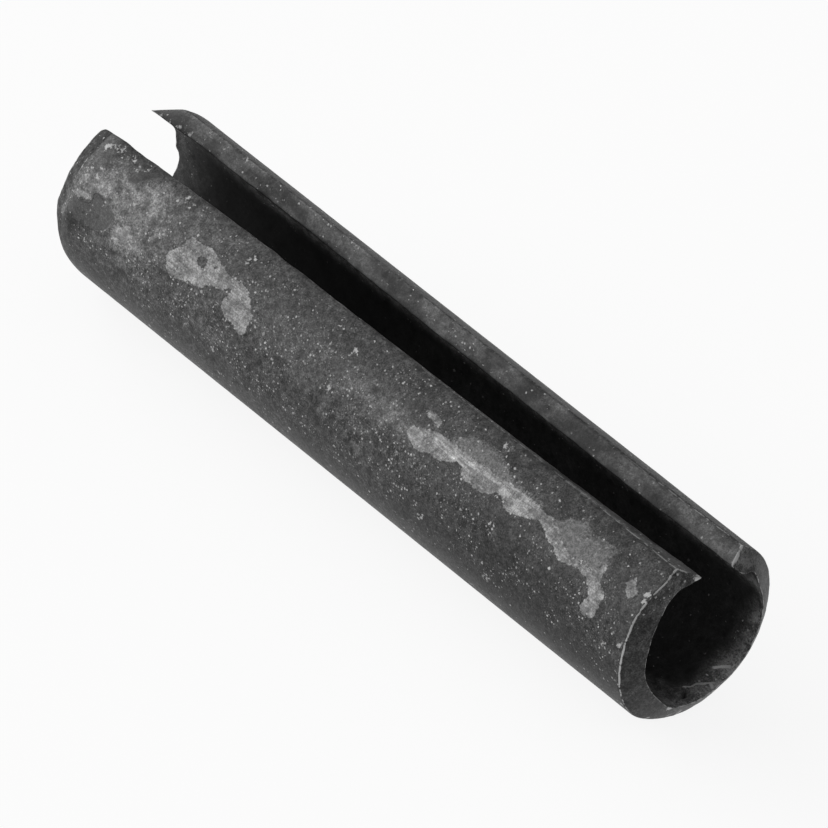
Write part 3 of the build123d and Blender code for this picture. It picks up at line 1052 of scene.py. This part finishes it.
def add_camera():
    azimuth, elevation = math.radians(CAMERA_AZIMUTH), math.radians(CAMERA_ELEVATION)
    roll = math.radians(CAMERA_ROLL)
    level = Vector((math.cos(azimuth), math.sin(azimuth), 0))
    reach = math.cos(elevation)
    back = Vector((math.sin(azimuth) * reach, -math.cos(azimuth) * reach, math.sin(elevation)))
    upright = back.cross(level)
    right = level * math.cos(roll) + upright * math.sin(roll)
    up = back.cross(right)
    middle = Vector((0, 0, OUTER_RADIUS))
    place = middle + right * AIM_RIGHT + up * AIM_UP + back * CAMERA_DISTANCE
    data = bpy.data.cameras.new("camera")
    data.lens = CAMERA_LENS
    data.sensor_width = 36
    data.clip_end = 100
    camera = added("camera", data)
    turned = Matrix((right, up, back)).transposed().to_4x4()
    camera.matrix_world = Matrix.Translation(place * MM) @ turned
    bpy.context.scene.camera = camera


# Soft light: an even surround and a wide soft box, low beyond the lead end. Lengths in metres
SURROUND = 0.42
BOX_AZIMUTH = 205
BOX_ELEVATION = 24
BOX_DISTANCE = 1.2
BOX_SIZE = (2.2, 0.9)
BOX_WATTS = 24.5
FLOOR_HALF = 3
FLOOR_TONE = 0.85
FLOOR_GLOW = 0.88


def add_world():
    world = bpy.data.worlds.new("studio")
    world.use_nodes = True
    background = world.node_tree.nodes["Background"]
    background.inputs["Color"].default_value = (SURROUND, SURROUND, SURROUND, 1)
    bpy.context.scene.world = world


def add_floor():
    """A pale floor that looks white to the camera and in reflections and keeps the shadow."""
    mesh = bpy.data.meshes.new("floor")
    half = FLOOR_HALF
    corners = [(-half, -half, 0), (half, -half, 0), (half, half, 0), (-half, half, 0)]
    mesh.from_pydata(corners, [], [(0, 1, 2, 3)])
    floor = added("floor", mesh)
    material = bpy.data.materials.new("floor")
    s = Shading(material)
    tone = (FLOOR_TONE, FLOOR_TONE, FLOOR_TONE, 1)
    s.fill(s.shader, {"Base Color": tone, "Roughness": DULL_ROUGHNESS})
    white = s.node("Emission", {})["Emission"]
    path = s.node("LightPath", {})
    seen = s.math("MAXIMUM", path["Is Camera Ray"], path["Is Glossy Ray"])
    seen = s.math("MAXIMUM", seen, path["Is Transmission Ray"])
    glow = s.times(seen, FLOOR_GLOW)
    both = s.node("MixShader", {"Fac": glow, 1: s.shader.outputs["BSDF"], 2: white})["Shader"]
    s.fill(s.tree.nodes["Material Output"], {"Surface": both})
    mesh.materials.append(material)


def add_soft_box():
    data = bpy.data.lights.new("soft_box", "AREA")
    data.shape = "RECTANGLE"
    data.size, data.size_y = BOX_SIZE
    data.energy = BOX_WATTS
    light = added("soft_box", data)
    azimuth, elevation = math.radians(BOX_AZIMUTH), math.radians(BOX_ELEVATION)
    level = Vector((math.cos(azimuth), math.sin(azimuth), 0)) * math.cos(elevation)
    place = (level + Vector((0, 0, math.sin(elevation)))) * BOX_DISTANCE
    turned = place.to_track_quat("Z", "Y").to_matrix().to_4x4()
    light.matrix_world = Matrix.Translation(place) @ turned


pin = build_pin()
pin.data.materials.append(spring_steel())
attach(pin, "root")
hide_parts("slotted_spring_pin")
add_floor()
add_world()
add_soft_box()
add_camera()
bpy.context.scene.view_settings.view_transform = "Standard"
